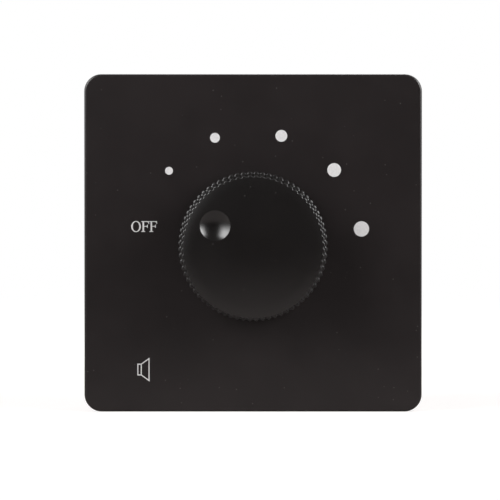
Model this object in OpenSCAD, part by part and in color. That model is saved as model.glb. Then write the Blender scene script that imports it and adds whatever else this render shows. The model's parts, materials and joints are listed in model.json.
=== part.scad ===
// Wall volume control: a square clip-on plate and a fluted knob in front of the wall,
// and behind it a six-position rotary switch, a tapped line transformer and wire terminals.
// +Z is up, the wall is the plane y = 0 and the front faces -Y.
// The origin is on the wall, midway between the two fixing slots.
// Modules draw with x to the right, y up and z out of the wall, and on_wall() stands them up.

/* [Front plate] */
// Width and height of the square plate
plate_size = 86; // [82:0.5:100]
// Distance from the wall to the plate's face
plate_depth = 8.5; // [8.4:0.1:12]
// Radius of the plate's corners, seen from the front
plate_corner_r = 4.4; // [3:0.2:8]
// Rounding of the front edge
plate_edge_r = 0.6; // [0.2:0.1:1]
// Thickness of the plate's face
plate_face_t = 2.2; // [1.5:0.1:2.3]
// Thickness of the plate's rim
plate_rim_t = 1.8; // [1.2:0.1:2.2]
// Gap between the rim and the wall
plate_wall_gap = 0.3; // [0.1:0.1:1]
// Diameter of the hole behind the knob
plate_hole_d = 16; // [14:0.5:24]
// Width of the notch for prising the plate off
notch_w = 8; // [4:0.5:14]
// Height of that notch above the rim's back edge
notch_h = 1.2; // [0.6:0.1:2]
// Width of each snap bead
snap_w = 12; // [6:0.5:16]
// How far a snap bead stands in from the rim
snap_reach = 0.9; // [0.7:0.05:1.1]
// Height of a snap bead
snap_h = 0.8; // [0.5:0.1:1.2]
// Distance of the snap beads from the wall
snap_z = 2.6; // [2.4:0.1:3]
// Distance of the snap beads from the plate's upright centre line
snap_x = 22; // [14:0.5:28]

/* [Mounting frame] */
// Distance between the two fixing slots
fixing_spacing = 60.3; // [58:0.1:64]
// Width of a fixing slot
fixing_slot_w = 4.2; // [3.6:0.1:5]
// Length of a fixing slot
fixing_slot_l = 8; // [6:0.5:10]
// Thickness of the frame's back
frame_t = 2; // [1.5:0.1:2.2]
// Depth of the relief in the frame's back, inside its seat on the wall
relief_depth = 0.3; // [0.2:0.05:0.5]
// Margin of that relief round the board
relief_margin = 1; // [0.5:0.1:1.5]
// Thickness of the frame's border wall
frame_border_t = 2.4; // [1.8:0.1:3.5]
// Gap between the frame and the plate's rim
frame_rim_gap = 0.4; // [0.2:0.05:0.6]
// Gap between the frame's border and the plate's face
frame_face_gap = 0.2; // [0.1:0.05:0.5]
// Thickness of the frame's stiffening ribs
frame_rib_t = 1.4; // [1:0.1:2.5]
// Height of those ribs above the frame's back
frame_rib_h = 2; // [1:0.1:3]
// Outer diameter of the rib ring round the bush nut
rib_ring_d = 22; // [20:0.5:26]
// Diameter of a board pillar
pillar_d = 6.5; // [5.5:0.1:7]

/* [Knob] */
// Diameter of the knob at its base
knob_d = 38.2; // [34:0.2:46]
// Height of the knob
knob_h = 13.2; // [12:0.1:18]
// Lean of the knob's side
knob_draft = 3; // [0.5:0.25:5]
// Gap between the knob and the plate
knob_gap = 0.8; // [0.4:0.1:1.6]
// Rise of the domed face
knob_dome = 0.7; // [0.3:0.05:1.5]
// Bevel between the side and the face
knob_bevel = 0.5; // [0.2:0.05:0.8]
// Thickness of the knob's side wall
knob_wall = 2.2; // [1.6:0.1:3]
// Thickness of the knob's face at its middle
knob_face_t = 3.4; // [2.8:0.1:3.6]
// Diameter of the knob's hub
hub_d = 11; // [9:0.25:13]
// How far the hub reaches behind the knob's base
hub_tail = 2; // [1:0.1:2.2]
// Number of ribs between hub and wall
knob_ribs = 6; // [3:1:10]
// Thickness of those ribs
knob_rib_t = 1.2; // [0.8:0.1:2]
// Number of flutes round the knob
flute_count = 72; // [36:1:80]
// Radius of a flute's hollow
flute_r = 0.75; // [0.6:0.05:0.9]
// Depth of a flute
flute_depth = 0.4; // [0.2:0.05:0.45]
// Plain band left at the base of the flutes
flute_band = 1; // [0.5:0.1:3]
// Diameter of the finger dimple
dimple_d = 7.8; // [5:0.1:9]
// Depth of the finger dimple
dimple_depth = 1.3; // [0.6:0.1:1.6]
// Distance from the knob's axis to the dimple
dimple_pitch = 11.1; // [9.5:0.1:12]
// Angle of the dimple at OFF, counter-clockwise from the right
dimple_angle = 150; // [0:1:359]

/* [Shaft and spring leaf] */
// Distance of the shaft's axis below the plate's centre
axis_drop = 0.8; // [0:0.1:1.5]
// Diameter of the shaft
shaft_d = 6; // [5.5:0.05:6.5]
// Depth of the flats on the shaft
shaft_flat = 1.5; // [1:0.1:1.8]
// How far the shaft reaches into the knob from its base
shaft_grip = 8.4; // [6:0.1:8.6]
// Diameter of the pivot at the shaft's rear end
pivot_d = 3; // [2:0.1:3.4]
// Thickness of the retaining ring
ring_t = 0.6; // [0.4:0.05:0.7]
// Depth of the ring's groove in the shaft
groove_depth = 0.6; // [0.4:0.05:0.8]
// Outer diameter of the retaining ring
ring_d = 10; // [8.5:0.1:10.5]
// Width of the retaining ring's mouth
ring_mouth = 3.6; // [2.5:0.1:4]
// Thickness of the spring leaf in the knob
leaf_t = 0.4; // [0.2:0.05:0.6]
// Width of that leaf
leaf_w = 3.6; // [2:0.1:4]
// Distance from the knob's base to that leaf
leaf_inset = 0.6; // [0.2:0.1:2]

/* [Rotary switch] */
// Width of the square switch body
switch_size = 28; // [27:0.25:28.5]
// Corner radius of the switch body
switch_corner_r = 3; // [1:0.25:4]
// Thickness of the switch cover
cover_t = 2.5; // [2:0.1:3.5]
// Diameter of the threaded bush
bush_d = 9; // [8.5:0.1:9.5]
// Length of the bush in front of the switch cover
bush_l = 5.4; // [5.1:0.1:5.5]
// Thickness of the bush washer
washer_t = 0.6; // [0.3:0.1:0.8]
// Outer diameter of the bush washer
washer_d = 14; // [12:0.25:15]
// Thickness of the bush nut
nut_t = 2.2; // [1.6:0.1:2.4]
// Width of the bush nut across its flats
nut_af = 12; // [11:0.25:13]
// Diameter of the lug that stops the switch from turning
lug_d = 2.4; // [1.6:0.1:3]
// Length of that lug
lug_l = 1.4; // [0.8:0.1:1.5]
// Distance from the switch's side to that lug's centre
lug_inset = 2.4; // [2:0.1:3]
// Thickness of the switch housing's wall at the middle of each side
housing_wall = 2.2; // [2:0.1:2.6]
// Number of switch positions, OFF included
positions = 6; // [3:1:6]
// Angle from one position to the next
step_angle = 30; // [20:1:30]
// Thickness of the detent wheel
wheel_t = 2.4; // [2:0.1:3.5]
// Room between the detent wheel and the chamber's wall
wheel_room = 3; // [2.9:0.1:3.6]
// Radius of the bead on the detent spring
bead_r = 1.3; // [1.1:0.05:1.6]
// Distance of that bead's centre outside the detent wheel's edge
bead_lift = 0.6; // [0.45:0.05:0.8]
// Thickness of the detent spring
spring_t = 0.4; // [0.2:0.05:0.5]
// Length of the detent spring
spring_l = 19; // [17:0.25:21]
// Width of the stop arm on the detent wheel
arm_w = 3; // [2:0.1:4]
// Diameter of each end stop
stop_d = 2.4; // [1.8:0.1:2.6]
// How deep each end stop is rooted in the chamber's wall
stop_root = 0.3; // [0.1:0.05:0.6]
// Thickness of the contact rotor
rotor_t = 2.4; // [1.6:0.1:3]
// Diameter of the contact rotor
rotor_d = 18.4; // [17.8:0.1:18.8]
// Space between the rotor and the contact wafer
wiper_room = 1.9; // [1.6:0.1:2.5]
// Width of the wiper
wiper_w = 1.8; // [1.2:0.1:2.4]
// Thickness of the wiper's strip
wiper_t = 0.4; // [0.2:0.05:0.5]
// Diameter of the wiper's two tips
tip_d = 1; // [0.8:0.05:1.2]
// Thickness of the contact wafer
wafer_t = 2.5; // [1.8:0.1:3.5]
// Distance from the axis to the step contacts
contact_pitch = 8; // [7.4:0.1:8.2]
// Diameter of a step contact's head
contact_d = 2.6; // [2:0.1:2.7]
// Distance from the axis to the middle of the common ring
common_pitch = 4.5; // [4.2:0.1:4.8]
// Width of the common ring
common_w = 2.2; // [1.4:0.1:2.4]
// How far the contacts stand up from the wafer
contact_h = 0.3; // [0.2:0.05:0.5]
// Diameter of the contact pins and bobbin pins
pin_d = 1; // [0.7:0.05:1.2]
// Diameter of the tie screws
tie_d = 2; // [1.6:0.1:2.2]
// Distance of the tie screws from the switch's sides
tie_inset = 2.8; // [2.4:0.1:3]
// Diameter of the feet under the wafer
foot_d = 2.4; // [1.6:0.1:2.8]
// Distance of those feet from the switch's sides
foot_inset = 2.2; // [1.6:0.1:2.4]
// Height of those feet
foot_h = 2; // [1.9:0.1:3]

/* [Circuit board] */
// Width of the board
board_w = 48; // [47:0.25:50]
// Height of the board
board_h = 63; // [62:0.25:66]
// Thickness of the board
board_t = 1.6; // [1:0.1:2]
// Corner radius of the board
board_corner_r = 1.5; // [0.5:0.1:2.5]
// Height of the board above the transformer's core
board_head = 7.25; // [6.75:0.25:7.75]
// Distance of the board screws from the board's edges
board_hole_inset = 3.5; // [3.3:0.1:4]
// Diameter of the board screws
board_screw_d = 2.8; // [2.2:0.1:3]
// Length of the board screws under the head
board_screw_l = 9; // [6:0.5:11]
// How far soldered pins stand out from the board
pin_tail = 1.4; // [0.8:0.1:1.6]

/* [Transformer] */
// Distance of the transformer's middle above the plate's centre
core_y = 6; // [5:0.25:6.5]
// Width of the core's middle leg
core_leg = 13; // [12:0.25:13.5]
// Width of the core's outer legs and yokes
core_yoke = 6.5; // [6:0.1:6.8]
// Width of the core's windows
window_w = 7.5; // [7.2:0.1:7.8]
// Length of the core's windows
window_l = 20.5; // [19:0.25:21]
// Thickness of the stack of laminations
stack_t = 12; // [8:0.5:16]
// Thickness of the bobbin's tube
bobbin_t = 1; // [0.6:0.1:1.2]
// Thickness of the bobbin's flanges
flange_t = 1.2; // [0.8:0.1:2]
// Thickness of the wire on the bobbin
winding_t = 4.8; // [3:0.1:5]
// Thickness of the tape over the wire
tape_t = 0.3; // [0.15:0.05:0.4]
// How far the flanges stand out past the tape
flange_lip = 0.4; // [0.2:0.1:0.5]
// Gap between the winding and the switch pins
winding_pin_gap = 0.9; // [0.5:0.1:2]
// Depth of the bobbin's foot rails
rail_w = 3.6; // [3:0.1:4]
// Height of the bobbin's foot rails
rail_h = 3; // [2:0.1:4]
// Number of pins in each rail
rail_pins = 4; // [2:1:4]
// Distance between those pins
rail_pin_pitch = 7; // [3.5:0.1:7]
// How deep those pins sit in the rails
rail_pin_depth = 2; // [1:0.1:2]
// Diameter of the core bolts
core_bolt_d = 2.5; // [2:0.1:2.6]
// Outer diameter of the core spacers
spacer_d = 5; // [4.4:0.1:5.4]

/* [Terminals] */
// Number of wire terminals
poles = 4; // [2:1:4]
// Distance from one terminal to the next
pole_pitch = 7.5; // [7.2:0.1:7.8]
// Depth of the terminal housing along the wire
terminal_d = 11; // [10.5:0.25:12]
// Distance from the board's lower edge to the terminal housing
terminal_inset = 1.5; // [0.5:0.1:3]
// Thickness of the housing's end walls
terminal_wall = 1.4; // [1:0.1:2]
// Thickness of the housing's floor on the board
terminal_floor = 1; // [0.6:0.1:1.6]
// Height of the housing above the screw heads
head_cover = 1; // [0.4:0.1:2]
// Width of the wire entries
entry_w = 3.4; // [2.6:0.1:3.6]
// Outer width of a wire clamp
clamp_w = 4.4; // [4.2:0.1:4.8]
// Thickness of the wire clamp's walls
clamp_t = 0.8; // [0.6:0.05:0.8]
// Thickness of the wire clamp's threaded top
clamp_top_t = 1.4; // [1:0.1:2]
// Space for the wire in an open clamp
wire_room = 2.9; // [2.4:0.1:3.2]
// Travel of a wire clamp
clamp_travel = 1.5; // [0.5:0.1:2]
// Diameter of the terminal screws
terminal_screw_d = 2.8; // [2:0.1:3]
// Diameter of the terminal screws' heads
terminal_head_d = 4; // [3.6:0.1:4.6]
// Height of the terminal screws' heads
terminal_head_h = 1.6; // [1:0.1:2]
// Thickness of the terminal tongues
tongue_t = 0.8; // [0.5:0.05:0.9]
// Width of the terminal tongues
tongue_w = 2.2; // [1.4:0.1:2.3]
// Distance from the screw's axis to the tongue's leg
leg_y = 3.6; // [3.2:0.1:4.2]

/* [Fits] */
// Radial gap of the shaft and the terminal screws in their bearings
run_gap = 0.04; // [0.02:0.01:0.08]
// Gap between pieces that are fixed together
seat_gap = 0.05; // [0.02:0.01:0.1]
// Gap between pieces that move past each other
move_gap = 0.3; // [0.2:0.05:0.35]
// Gap between a wire clamp and its guide
guide_gap = 0.15; // [0.1:0.05:0.2]
// Radial gap of the board screws in the board
screw_gap = 0.2; // [0.1:0.05:0.4]

/* [Hidden] */
$fn = 64;
arc_fn = 32;
dome_fn = 240;
edge_steps = 3;
over = 1;

// Proportions of a pan head, as shares of the screw's diameter
pan_d = 1.9;
pan_h = 0.6;
pan_slot = 0.3;

// Plate and frame
plate_inner = plate_size - 2 * plate_rim_t;
plate_inner_z = plate_depth - plate_face_t;
plate_inner_r = plate_corner_r - plate_rim_t;
frame_size = plate_inner - 2 * frame_rim_gap;
frame_r = plate_inner_r - frame_rim_gap;
frame_floor = frame_size - 2 * frame_border_t;
border_top = plate_inner_z - frame_face_gap;
pocket_depth = snap_reach + seat_gap;

// Knob, with heights from its base
knob_base_z = plate_depth + knob_gap;
knob_edge_h = knob_h - knob_dome;
knob_edge_r = knob_d / 2 - knob_edge_h * tan(knob_draft);
knob_face_r = knob_edge_r - knob_bevel;
dome_r = (pow(knob_face_r, 2) + pow(knob_dome, 2)) / (2 * knob_dome);
cavity_h = knob_h - knob_face_t;
cavity_r = knob_edge_r - knob_wall;
dimple_ball_r = (pow(dimple_d / 2, 2) + pow(dimple_depth, 2)) / (2 * dimple_depth);
dimple_face_h = knob_h - dome_r + sqrt(pow(dome_r, 2) - pow(dimple_pitch, 2));

// Shaft and leaf
shaft_top = knob_base_z + shaft_grip;
shaft_flat_y = shaft_d / 2 - shaft_flat;
hub_flat_y = shaft_flat_y + leaf_t + 2 * seat_gap;
hub_bore_d = shaft_d + 2 * seat_gap;
leaf_l = shaft_grip - 2 * leaf_inset;

// Switch levels, from front to rear
ring_z = bush_l + seat_gap;
wheel_top = -cover_t - move_gap;
wheel_back = wheel_top - wheel_t;
rotor_top = wheel_back - move_gap;
rotor_back = rotor_top - rotor_t;
wafer_top = rotor_back - wiper_room;
wafer_back = wafer_top - wafer_t;
contact_top = wafer_top + contact_h;
board_top = wafer_back - foot_h;
board_back = board_top - board_t;
pin_tip = board_back - pin_tail;
tail_tip = board_top + pin_tail;

// Switch plan
chamber_d = switch_size - 2 * housing_wall;
wheel_d = chamber_d - 2 * wheel_room;
bead_pitch = wheel_d / 2 + bead_lift;
lug_pitch = switch_size / 2 - lug_inset;
lug_angle = 180;
common_pin_angle = 90;
travel = (positions - 1) * step_angle;
contact_angles = [for (step = [0 : positions - 1]) dimple_angle - step * step_angle];
arm_tip = chamber_d / 2 - move_gap;
stop_pitch = (chamber_d - stop_d) / 2 + stop_root;
stop_angle = travel / 2 + asin((arm_w / 2 + stop_d / 2 + move_gap) / stop_pitch);
tie_x = switch_size / 2 - tie_inset;
foot_pitch = switch_size / 2 - foot_inset;

// Board, hung from the core's upper edge
core_w = core_leg + 2 * core_yoke + 2 * window_w;
core_l = window_l + 2 * core_yoke;
board_y = core_y + core_l / 2 + board_head - board_h / 2;
board_bottom = board_y - board_h / 2;
board_hole_x = board_w / 2 - board_hole_inset;
board_hole_y = board_h / 2 - board_hole_inset;

// Transformer
tube_x = core_leg / 2 + seat_gap + bobbin_t;
tube_z = stack_t / 2 + seat_gap + bobbin_t;
wire_x = tube_x + winding_t;
wire_z = tube_z + winding_t;
flange_x = wire_x + tape_t + flange_lip;
flange_z = wire_z + tape_t + flange_lip;
core_z = pin_tip - winding_pin_gap - wire_z - tape_t;
stack_front = core_z + stack_t / 2;
stack_back = core_z - stack_t / 2;
bobbin_l = window_l - 2 * seat_gap;
coil_l = bobbin_l - 2 * flange_t - 2 * seat_gap;
rail_y = bobbin_l / 2 - flange_t + rail_w / 2;
core_bolt_x = (core_w - core_yoke) / 2;
core_bolt_y = (core_l - core_yoke) / 2;
core_nut_af = 2 * core_bolt_d;
core_nut_t = 0.8 * core_bolt_d;
core_bolt_l = board_top + core_nut_t + seat_gap - stack_back;

// Terminals, with heights from the board's back
room_w = clamp_w + 2 * guide_gap;
terminal_w = (poles - 1) * pole_pitch + room_w + 2 * terminal_wall;
terminal_y = board_bottom + terminal_inset + terminal_d / 2;
clamp_bottom = terminal_floor + guide_gap;
wire_floor = clamp_bottom + clamp_t;
tongue_z = wire_floor + wire_room;
tongue_top = tongue_z + tongue_t;
clamp_ceiling = tongue_top + guide_gap;
clamp_top = clamp_ceiling + clamp_top_t;
room_top = clamp_top + clamp_travel + guide_gap;
head_z = room_top + terminal_floor;
terminal_h = head_z + terminal_head_h + head_cover;

// Places

module on_wall() {
    rotate([90, 0, 0]) children();
}

module on_axis(z = 0) {
    translate([0, -axis_drop, z]) children();
}

module on_core(z = 0) {
    translate([0, core_y, z]) children();
}

// Terminal i, with x across, y along the wire and z away from the board's back
module on_pole(i) {
    x = (i - (poles + 1) / 2) * pole_pitch;
    translate([x, terminal_y, board_back]) mirror([0, 0, 1]) children();
}

module corners(x, y) {
    for (side = [-1, 1], end = [-1, 1]) translate([side * x, end * y]) children();
}

module at_contacts() {
    for (angle = contact_angles)
        on_axis() rotate(angle) translate([contact_pitch, 0, 0]) children();
}

module at_common_pin() {
    on_axis() rotate(common_pin_angle) translate([common_pitch, 0, 0]) children();
}

module at_ties() {
    on_axis() corners(tie_x, tie_x) children();
}

module at_board_holes() {
    translate([0, board_y, 0]) corners(board_hole_x, board_hole_y) children();
}

module at_rail_pins() {
    for (i = [1 : rail_pins])
        on_core() corners((i - (rail_pins + 1) / 2) * rail_pin_pitch, rail_y) children();
}

module at_core_bolts() {
    on_core() corners(core_bolt_x, core_bolt_y) children();
}

// Simple shapes

module rounded_rect(w, h, r) {
    square([w - 2 * r, h], center = true);
    square([w, h - 2 * r], center = true);
    corners(w / 2 - r, h / 2 - r) circle(r);
}

module slab(w, h, r, from, to) {
    translate([0, 0, from]) linear_extrude(to - from) rounded_rect(w, h, r);
}

module bar(w, d, from, to) {
    translate([-w / 2, -d / 2, from]) cube([w, d, to - from]);
}

module rod(d, from, to) {
    translate([0, 0, from]) cylinder(d = d, h = to - from);
}

module sleeve(outer_d, inner_d, from, to) {
    difference() {
        rod(outer_d, from, to);
        rod(inner_d, from - over, to + over);
    }
}

// Rod with one flat, which faces up in the drawing at height flat_y
module flat_rod(d, flat_y, from, to) {
    difference() {
        rod(d, from, to);
        translate([0, flat_y + d / 2, 0]) bar(2 * d, d, from - over, to + over);
    }
}

// Slotted screw: its head rises from z = 0 and its shank goes down
module pan_screw(d, length, head_d, head_h) {
    difference() {
        union() {
            rod(head_d, 0, head_h);
            rod(d, -length, head_h / 2);
        }
        bar(pan_slot * d, head_d + over, head_h / 2, head_h + over);
    }
}

// The same screw put in from behind, with its head at height z
module rear_screw(d, length, z) {
    translate([0, 0, z]) mirror([0, 0, 1]) pan_screw(d, length, pan_d * d, pan_h * d);
}

module hex_nut(af, bore_d, from, to) {
    difference() {
        rotate(30) translate([0, 0, from]) cylinder(d = af / cos(30), h = to - from, $fn = 6);
        rod(bore_d, from - over, to + over);
    }
}

// Plate and frame

module plate_block() {
    straight = plate_depth - plate_edge_r - plate_wall_gap;
    translate([0, 0, plate_wall_gap])
        hull()
            for (step = [0 : edge_steps]) {
                turn = 90 * step / edge_steps;
                inset = plate_edge_r * (1 - cos(turn));
                side = plate_size - 2 * inset;
                linear_extrude(straight + plate_edge_r * sin(turn))
                    rounded_rect(side, side, plate_corner_r - inset, $fn = arc_fn);
            }
}

module at_snaps(depth) {
    corners(snap_x, (plate_inner - depth) / 2) children();
}

module front_plate() {
    color("#242324") on_wall() {
        difference() {
            plate_block();
            slab(plate_inner, plate_inner, plate_inner_r, -over, plate_inner_z);
            on_axis() rod(plate_hole_d, 0, plate_depth + over);
            translate([0, -plate_size / 2, 0])
                bar(notch_w, 3 * plate_rim_t, -over, plate_wall_gap + notch_h);
        }
        at_snaps(snap_reach) bar(snap_w, snap_reach, snap_z, snap_z + snap_h);
    }
}

module fixing_slot() {
    straight = fixing_slot_l - fixing_slot_w;
    for (end = [-1, 1])
        translate([end * straight / 2, 0, 0]) rod(fixing_slot_w, -over, frame_t + over);
    bar(straight, fixing_slot_w, -over, frame_t + over);
}

module frame_ribs() {
    rib_top = frame_t + frame_rib_h;
    on_axis() sleeve(rib_ring_d, rib_ring_d - 2 * frame_rib_t, frame_t / 2, rib_top);
    for (turn = [45 : 90 : 315]) {
        start = rib_ring_d / 2 - frame_rib_t / 2;
        end = frame_floor / sqrt(2);
        rotate(turn) translate([(start + end) / 2, 0, 0])
            bar(end - start, frame_rib_t, frame_t / 2, rib_top);
    }
}

module frame_shell() {
    difference() {
        slab(frame_size, frame_size, frame_r, 0, border_top);
        bar(frame_floor, frame_floor, frame_t, border_top + over);
        translate([0, board_y, 0])
            bar(board_w + 2 * relief_margin, board_h + 2 * relief_margin, -over, relief_depth);
    }
    frame_ribs();
    at_board_holes() rod(pillar_d, board_top, frame_t / 2);
}

module mounting_frame() {
    color("#3c3d40") on_wall() difference() {
        frame_shell();
        for (side = [-1, 1]) translate([side * fixing_spacing / 2, 0, 0]) fixing_slot();
        on_axis() rod(bush_d + 2 * seat_gap, -over, frame_t + over);
        on_axis() rotate(lug_angle) translate([lug_pitch, 0, 0])
            rod(lug_d + 2 * seat_gap, -over, frame_t + over);
        at_board_holes()
            rod(board_screw_d + 2 * seat_gap, board_top - over, board_back + board_screw_l + seat_gap);
        at_snaps(pocket_depth)
            bar(snap_w + 2 * move_gap, pocket_depth, snap_z - seat_gap, snap_z + snap_h + move_gap);
    }
}

// Knob

module knob_blank() {
    bevel_run = knob_bevel + 2 * knob_dome;
    bevel_foot = knob_edge_h - knob_bevel;
    intersection() {
        rotate_extrude()
            polygon([
                [0, 0],
                [knob_d / 2, 0],
                [knob_edge_r, bevel_foot],
                [knob_edge_r - bevel_run, bevel_foot + bevel_run],
                [0, bevel_foot + bevel_run]
            ]);
        translate([0, 0, knob_h - dome_r]) sphere(dome_r, $fn = dome_fn);
    }
}

module flutes() {
    start_r = knob_d / 2 - flute_band * tan(knob_draft);
    for (i = [0 : flute_count - 1])
        rotate(360 * i / flute_count)
            translate([start_r, 0, flute_band])
                rotate([0, -knob_draft, 0])
                    translate([flute_r - flute_depth, 0, 0])
                        cylinder(r = flute_r, h = knob_h);
}

module dimple() {
    rotate(dimple_angle)
        translate([dimple_pitch, 0, dimple_face_h - dimple_depth + dimple_ball_r])
            sphere(dimple_ball_r);
}

module knob_inside() {
    rod(hub_d, -hub_tail, cavity_h + over);
    for (i = [0 : knob_ribs - 1])
        rotate(360 * i / knob_ribs)
            translate([(hub_d / 2 + cavity_r) / 2, 0, 0])
                bar(cavity_r - hub_d / 2 + over, knob_rib_t, knob_gap, cavity_h + over);
}

module knob() {
    color("#1e1d1e") on_wall() on_axis(knob_base_z) difference() {
        union() {
            difference() {
                knob_blank();
                rod(2 * cavity_r, -over, cavity_h);
                flutes();
                dimple();
            }
            knob_inside();
        }
        flat_rod(hub_bore_d, hub_flat_y, -hub_tail - over, shaft_grip + move_gap);
    }
}

module knob_leaf() {
    color("#b8b6b0") on_wall() on_axis(knob_base_z)
        translate([0, shaft_flat_y + seat_gap + leaf_t / 2, 0])
            bar(leaf_w, leaf_t, leaf_inset, leaf_inset + leaf_l);
}

// Shaft and switch

module switch_shaft() {
    color("#c9c7c0") on_wall() on_axis() {
        difference() {
            rod(shaft_d, wheel_top, shaft_top);
            sleeve(2 * shaft_d, shaft_d - 2 * groove_depth, bush_l, ring_z + ring_t + seat_gap);
            translate([0, shaft_flat_y + shaft_d / 2, 0])
                bar(2 * shaft_d, shaft_d, knob_base_z - hub_tail - move_gap, shaft_top + over);
        }
        flat_rod(shaft_d, shaft_flat_y, rotor_back, wheel_top);
        rod(pivot_d, wafer_back + move_gap, rotor_back);
    }
}

module shaft_ring() {
    bore = shaft_d - 2 * groove_depth + 2 * seat_gap;
    color("#8d8b86") on_wall() on_axis() difference() {
        sleeve(ring_d, bore, ring_z, ring_z + ring_t);
        translate([0, -ring_d / 2, 0]) bar(ring_mouth, ring_d, 0, plate_depth);
    }
}

module switch_cover() {
    color("#aeb0b2") on_wall() difference() {
        on_axis() union() {
            slab(switch_size, switch_size, switch_corner_r, -cover_t, relief_depth);
            rod(bush_d, -cover_t / 2, bush_l);
            rotate(lug_angle) translate([lug_pitch, 0, 0]) rod(lug_d, -cover_t / 2, lug_l);
        }
        on_axis() rod(shaft_d + 2 * run_gap, -cover_t - over, bush_l + over);
        at_ties() rod(tie_d + 2 * seat_gap, -cover_t - over, relief_depth + over);
    }
}

module bush_washer() {
    color("#c4c2ba") on_wall() on_axis()
        sleeve(washer_d, bush_d + 2 * seat_gap, frame_t, frame_t + washer_t);
}

module bush_nut() {
    from = frame_t + washer_t;
    color("#bfae7a") on_wall() on_axis() hex_nut(nut_af, bush_d + 2 * seat_gap, from, from + nut_t);
}

module switch_housing() {
    color("#2f4f3a") on_wall() {
        difference() {
            on_axis() slab(switch_size, switch_size, switch_corner_r, wafer_top, -cover_t);
            on_axis() rod(chamber_d, wafer_top - over, 0);
            at_ties() rod(tie_d + 2 * seat_gap, wafer_top - over, 0);
            on_axis() translate([-bead_pitch, 0, 0])
                bar(spring_t + 2 * seat_gap, spring_l + 2 * seat_gap, wheel_back, 0);
        }
        for (side = [-1, 1])
            on_axis() rotate(side * stop_angle) translate([stop_pitch, 0, 0])
                rod(stop_d, wheel_back, -cover_t);
    }
}

module shaft_hole(from, to) {
    flat_rod(shaft_d + 2 * seat_gap, shaft_flat_y + seat_gap, from - over, to + over);
}

// Outline of the detent wheel: a notch for each position and one arm that meets the end stops
module wheel_outline() {
    difference() {
        circle(d = wheel_d);
        for (step = [0 : positions - 1])
            rotate(180 + step * step_angle) translate([bead_pitch, 0]) circle(bead_r + seat_gap);
    }
    rotate(travel / 2) translate([shaft_d / 2, -arm_w / 2]) square([arm_tip - shaft_d / 2, arm_w]);
}

module detent_wheel() {
    color("#d9d4c4") on_wall() on_axis() difference() {
        translate([0, 0, wheel_back]) linear_extrude(wheel_t) wheel_outline();
        shaft_hole(wheel_back, wheel_top);
    }
}

// A leaf across the chamber, bent out in its middle to a round bead that rests in a notch
module detent_spring() {
    color("#a9a7a0") on_wall() on_axis() translate([-bead_pitch, 0, 0]) difference() {
        union() {
            bar(spring_t, spring_l, wheel_back + seat_gap, wheel_top);
            rod(2 * bead_r, wheel_back + seat_gap, wheel_top);
        }
        rod(2 * (bead_r - spring_t), wheel_back - over, wheel_top + over);
        translate([-bead_r - spring_t / 2, 0, 0]) bar(2 * bead_r, 3 * bead_r, wheel_back - over, wheel_top + over);
    }
}

module contact_rotor() {
    color("#e6e2d6") on_wall() on_axis() difference() {
        rod(rotor_d, rotor_back, rotor_top);
        shaft_hole(rotor_back, rotor_top);
    }
}

module wiper_tip() {
    tip_z = contact_top + seat_gap + tip_d / 2;
    rod(tip_d, tip_z, rotor_back - wiper_t / 2);
    translate([0, 0, tip_z]) sphere(d = tip_d);
}

module wiper() {
    length = contact_pitch - common_pitch + wiper_w;
    color("#c98d4e") on_wall() on_axis() rotate(dimple_angle) {
        translate([(contact_pitch + common_pitch) / 2, 0, 0])
            bar(length, wiper_w, rotor_back - wiper_t, rotor_back);
        for (pitch = [common_pitch, contact_pitch]) translate([pitch, 0, 0]) wiper_tip();
    }
}

module contact_wafer() {
    color("#7a4a2c") on_wall() {
        difference() {
            on_axis() slab(switch_size, switch_size, switch_corner_r, wafer_back, wafer_top);
            on_axis() rod(pivot_d + 2 * run_gap, wafer_back - over, wafer_top + over);
            at_ties() rod(tie_d + 2 * seat_gap, wafer_back - over, wafer_top + over);
            at_contacts() rod(pin_d + 2 * seat_gap, wafer_back - over, wafer_top + over);
            at_common_pin() rod(pin_d + 2 * seat_gap, wafer_back - over, wafer_top + over);
        }
        for (turn = [0 : 90 : 270])
            on_axis() rotate(turn) translate([foot_pitch, 0, 0])
                rod(foot_d, board_top, wafer_back + wafer_t / 2);
    }
}

module step_contacts() {
    color("#d8d8d4") on_wall() at_contacts() {
        rod(contact_d, wafer_top, contact_top);
        rod(pin_d, pin_tip, wafer_top + contact_h / 2);
    }
}

module common_contact() {
    color("#d0c9a8") on_wall() {
        on_axis() sleeve(2 * common_pitch + common_w, 2 * common_pitch - common_w, wafer_top, contact_top);
        at_common_pin() rod(pin_d, pin_tip, wafer_top + contact_h / 2);
    }
}

module tie_screws() {
    color("#b9b9b6") on_wall() at_ties() rear_screw(tie_d, -wafer_back - cover_t / 4, wafer_back);
}

// Circuit board

module board_openings() {
    at_board_holes() rod(board_screw_d + 2 * screw_gap, board_back - over, board_top + over);
    at_contacts() rod(pin_d + 2 * seat_gap, board_back - over, board_top + over);
    at_common_pin() rod(pin_d + 2 * seat_gap, board_back - over, board_top + over);
    at_rail_pins() rod(pin_d + 2 * seat_gap, board_back - over, board_top + over);
    at_core_bolts() rod(core_bolt_d + 2 * seat_gap, board_back - over, board_top + over);
    for (i = [1 : poles])
        on_pole(i) translate([0, leg_y, 0])
            bar(tongue_w + 2 * seat_gap, tongue_t + 2 * seat_gap, -board_t - over, over);
}

module circuit_board() {
    color("#2d6b3c") on_wall() difference() {
        translate([0, board_y, 0]) slab(board_w, board_h, board_corner_r, board_back, board_top);
        board_openings();
    }
}

module board_screws() {
    color("#b9b9b6") on_wall() at_board_holes() rear_screw(board_screw_d, board_screw_l, board_back);
}

// Transformer

module bobbin_flange() {
    bar(2 * flange_x, flange_t, core_z - flange_z, board_back);
}

module bobbin_rail() {
    bar(2 * flange_x, rail_w, board_back - rail_h, board_back);
}

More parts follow.
